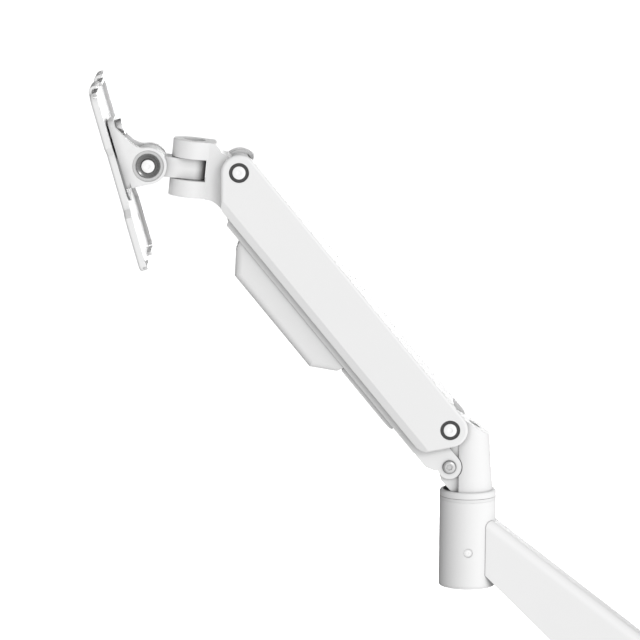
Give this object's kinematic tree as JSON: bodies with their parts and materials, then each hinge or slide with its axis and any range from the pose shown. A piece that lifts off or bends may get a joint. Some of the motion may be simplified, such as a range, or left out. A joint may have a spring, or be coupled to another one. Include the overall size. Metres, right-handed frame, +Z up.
{
  "type": "monitor arm",
  "caption": "White desk-clamped monitor arm with an inclined lower arm, a gas-sprung parallelogram upper arm and a panning, tilting screen plate.",
  "frame": {"origin": "on the desk top, at the underside of the base pad, on the axis of the base post", "axes": "+Z up along the base post; the arm lies in the XZ plane and its screen end points to -X; the clamp's spine is on the +X side"},
  "size_m": [0.5619, 0.114, 0.7116],
  "materials": {
    "white_paint": "satin white powder coat",
    "white_plastic": "fine moulded texture",
    "grey_plastic": "plain bearing plastic",
    "dark_plastic": "moulded black",
    "black_rubber": "matt",
    "zinc_steel": "bright zinc plate",
    "bright_steel": "polished plate",
    "black_steel": "black painted steel",
    "brass": "turned"
  },
  "bodies": {
    "root": {"base_foot": "white_paint", "base_pad": "black_rubber", "base_post": "zinc_steel", "post_screw": "zinc_steel", "clamp_bracket": "white_paint", "bracket_screws": "zinc_steel", "base_washer": "grey_plastic", "hub_screw": "zinc_steel"},
    "clamp_pad": {"clamp_pad": "zinc_steel", "clamp_pad_rubber": "black_rubber"},
    "clamp_screw": {"clamp_screw": "zinc_steel", "clamp_knob": "dark_plastic"},
    "lower_arm": {"base_hub": "white_paint", "base_bushes": "grey_plastic", "hub_cap": "white_plastic", "lower_arm_beam": "white_paint", "beam_screws": "zinc_steel", "lower_arm_cover": "white_plastic", "elbow_sleeve": "white_paint", "elbow_upper_bush": "white_plastic", "elbow_lower_bush": "grey_plastic", "sleeve_end_cap": "white_plastic", "friction_screw": "white_paint", "brake_shoe": "brass"},
    "knuckle": {"elbow_collar": "white_paint", "elbow_knuckle": "white_paint", "elbow_spindle": "zinc_steel", "spindle_screw": "zinc_steel", "adjust_screw": "zinc_steel", "anchor_block": "brass", "anchor_pins": "zinc_steel", "elbow_pivot_bolts": "white_paint", "link_elbow_screws": "zinc_steel"},
    "upper_arm": {"upper_channel": "white_paint", "elbow_arm_bushes": "dark_plastic", "head_arm_bushes": "dark_plastic", "spring_pin": "zinc_steel"},
    "lower_link": {"lower_link": "white_paint", "link_bushes": "grey_plastic", "cable_cover": "white_plastic", "cable_strip": "white_plastic"},
    "spring_body": {"gas_cylinder": "black_steel"},
    "spring_rod": {"gas_rod": "bright_steel", "rod_fork": "zinc_steel"},
    "yoke": {"head_yoke": "white_paint", "head_pivot_bolts": "white_paint", "link_head_screws": "zinc_steel", "pan_pin": "black_steel"},
    "pan_block": {"pan_block": "white_paint", "pan_washers": "grey_plastic", "tilt_friction_washers": "grey_plastic"},
    "tilt_bracket": {"tilt_bracket": "white_paint", "tilt_bolt": "white_paint", "tilt_nut": "zinc_steel", "tilt_dish_washers": "bright_steel", "lock_screw": "bright_steel", "rotation_bolt": "zinc_steel", "rotation_washer": "grey_plastic"},
    "screen_plate": {"vesa_plate": "white_paint"}
  },
  "joints": [
    {"name": "base_swivel", "type": "hinge", "parent": "root", "child": "lower_arm", "pos_m": [0, 0, 0.02], "axis": [0, 0, 1], "range_deg": [-180, 180]},
    {"name": "elbow_swivel", "type": "hinge", "parent": "lower_arm", "child": "knuckle", "pos_m": [-0.24, 0, 0.279], "axis": [0, 0, 1], "range_deg": [-180, 180]},
    {"name": "lift", "type": "hinge", "parent": "knuckle", "child": "upper_arm", "pos_m": [-0.2538, 0, 0.3321], "axis": [0, 1, 0], "range_deg": [-78, 0]},
    {"name": "link_swing", "type": "hinge", "parent": "knuckle", "child": "lower_link", "pos_m": [-0.2538, 0, 0.3041], "axis": [0, 1, 0], "range_deg": [-78, 0]},
    {"name": "head_level", "type": "hinge", "parent": "upper_arm", "child": "yoke", "pos_m": [-0.40328, 0, 0.51343], "axis": [0, 1, 0], "range_deg": [0, 78]},
    {"name": "spring_swing", "type": "hinge", "parent": "upper_arm", "child": "spring_body", "pos_m": [-0.3832, 0, 0.48592], "axis": [0, 1, 0], "range_deg": [-0.5, 3.98]},
    {"name": "spring_slide", "type": "slide", "parent": "spring_body", "child": "spring_rod", "axis": [0.6122, 0, -0.7907], "range_m": [-0.02077, 0.001]},
    {"name": "head_pan", "type": "hinge", "parent": "yoke", "child": "pan_block", "pos_m": [-0.43658, 0, 0.51383], "axis": [0.0941, 0, 0.9956], "range_deg": [-90, 90]},
    {"name": "head_tilt", "type": "hinge", "parent": "pan_block", "child": "tilt_bracket", "pos_m": [-0.46694, 0, 0.5167], "axis": [0, 1, 0], "range_deg": [-14, 61]},
    {"name": "plate_turn", "type": "hinge", "parent": "tilt_bracket", "child": "screen_plate", "pos_m": [-0.48842, 0, 0.5089], "axis": [-0.9603, 0, -0.279], "range_deg": [-90, 90]},
    {"name": "clamp_travel", "type": "slide", "parent": "root", "child": "clamp_pad", "axis": [0, 0, 1], "range_m": [-0.03, 0.02]},
    {"name": "clamp_turn", "type": "hinge", "parent": "clamp_pad", "child": "clamp_screw", "pos_m": [0, 0, -0.06], "axis": [0, 0, 1], "range_deg": [-3610, 2410]}
  ],
  "couplings": [
    {"joint": "link_swing", "follows": "lift", "ratio": 1},
    {"joint": "head_level", "follows": "lift", "ratio": -1},
    {"joint": "spring_swing", "follows": "lift", "ratio": -0.044663},
    {"joint": "spring_slide", "follows": "lift", "m_per_rad": 0.014519},
    {"joint": "clamp_turn", "follows": "clamp_travel", "rad_per_m": 2094.4}
  ]
}
